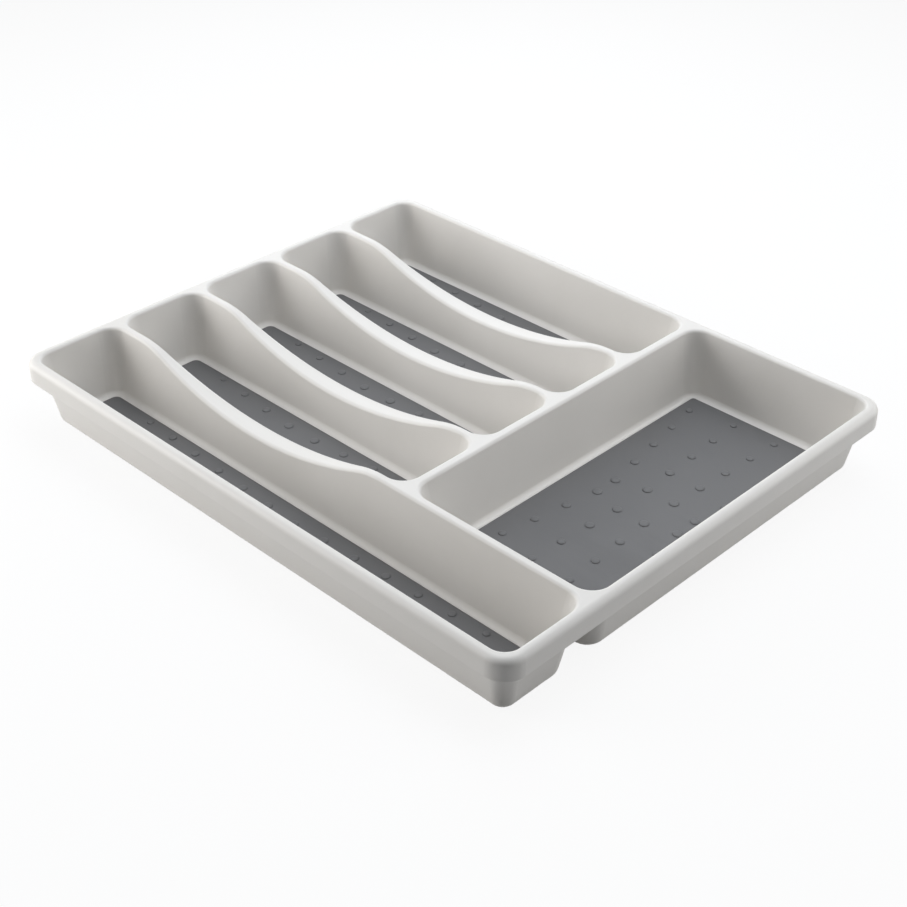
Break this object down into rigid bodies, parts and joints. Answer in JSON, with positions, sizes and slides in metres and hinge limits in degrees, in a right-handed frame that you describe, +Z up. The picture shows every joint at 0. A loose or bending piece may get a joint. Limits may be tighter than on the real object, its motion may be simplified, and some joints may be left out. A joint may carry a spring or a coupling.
{
  "type": "cutlery tray",
  "caption": "Rectangular drawer tray for cutlery with a long, a large and several narrow compartments, dipped dividers, dark non-slip floor mats and round feet.",
  "frame": {"origin": "on the table, under the middle of the tray's outline", "axes": "+X along the long compartment towards the end with the large compartment, +Y across from the long compartment's side, +Z up"},
  "size_m": [0.406, 0.327, 0.0463],
  "materials": {
    "tray_plastic": "satin light warm grey, fine moulded grain",
    "mat_rubber": "matt dark grey soft-touch, fine grain",
    "foot_rubber": "matt dark grey"
  },
  "bodies": {
    "tray": {"tray_body": "tray_plastic", "foot_front_left": "foot_rubber", "foot_front_middle": "foot_rubber", "foot_front_right": "foot_rubber", "foot_back_left": "foot_rubber", "foot_back_middle": "foot_rubber", "foot_back_right": "foot_rubber"},
    "mat_long": {"mat_long": "mat_rubber"},
    "mat_short_1": {"mat_short_1": "mat_rubber"},
    "mat_short_2": {"mat_short_2": "mat_rubber"},
    "mat_short_3": {"mat_short_3": "mat_rubber"},
    "mat_short_4": {"mat_short_4": "mat_rubber"},
    "mat_large": {"mat_large": "mat_rubber"}
  },
  "joints": [
    {"name": "mat_long_lift", "type": "slide", "parent": "tray", "child": "mat_long", "axis": [0, 0, 1], "range_m": [0, 0.06]},
    {"name": "mat_short_1_lift", "type": "slide", "parent": "tray", "child": "mat_short_1", "axis": [0, 0, 1], "range_m": [0, 0.06]},
    {"name": "mat_short_2_lift", "type": "slide", "parent": "tray", "child": "mat_short_2", "axis": [0, 0, 1], "range_m": [0, 0.06]},
    {"name": "mat_short_3_lift", "type": "slide", "parent": "tray", "child": "mat_short_3", "axis": [0, 0, 1], "range_m": [0, 0.06]},
    {"name": "mat_short_4_lift", "type": "slide", "parent": "tray", "child": "mat_short_4", "axis": [0, 0, 1], "range_m": [0, 0.06]},
    {"name": "mat_large_lift", "type": "slide", "parent": "tray", "child": "mat_large", "axis": [0, 0, 1], "range_m": [0, 0.06]}
  ]
}
